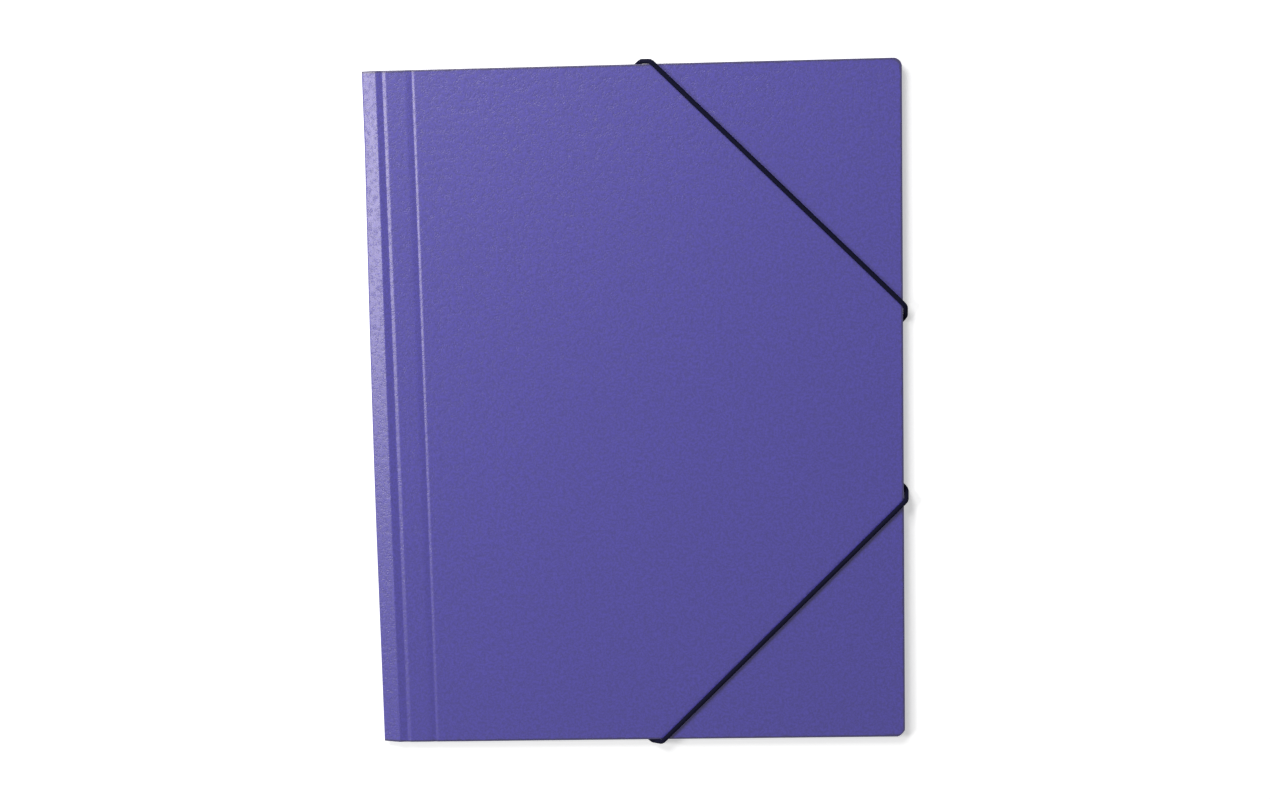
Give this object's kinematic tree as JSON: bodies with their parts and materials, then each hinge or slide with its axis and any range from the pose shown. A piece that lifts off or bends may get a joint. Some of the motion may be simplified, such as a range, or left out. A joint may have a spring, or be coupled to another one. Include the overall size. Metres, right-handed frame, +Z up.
{
  "type": "elastic folder",
  "caption": "Flat three-flap document folder for A4 papers, held shut by an elastic cord across each outer corner.",
  "frame": {"origin": "middle of the bottom of the box around the closed folder, on the surface it lies on", "axes": "+X from the spine to the fore-edge, +Y to the top edge, +Z up out of the front cover"},
  "size_m": [0.2536, 0.3254, 0.0084],
  "materials": {
    "cover": "satin",
    "flap": "satin",
    "elastic": "matte",
    "barb": "satin"
  },
  "bodies": {
    "back": {"back_cover": "cover", "top_flap": "flap", "bottom_flap": "flap", "side_flap": "flap", "upper_elastic": "elastic", "upper_barb_end": "barb", "upper_barb_fore": "barb", "lower_elastic": "elastic", "lower_barb_end": "barb", "lower_barb_fore": "barb"},
    "spine": {"spine_band": "cover"},
    "front": {"front_cover": "cover"}
  },
  "joints": [
    {"name": "spine_fold", "type": "hinge", "parent": "back", "child": "spine", "pos_m": [-0.1266, 0, 0.00293], "axis": [0, -1, 0], "range_deg": [0, 162.1], "deforming": ["upper_elastic", "lower_elastic"]},
    {"name": "cover_fold", "type": "hinge", "parent": "spine", "child": "front", "pos_m": [-0.11885, 0, 0.00543], "axis": [0, -1, 0], "range_deg": [0, 22]}
  ],
  "couplings": [
    {"joint": "cover_fold", "follows": "spine_fold", "ratio": 0.11028}
  ]
}
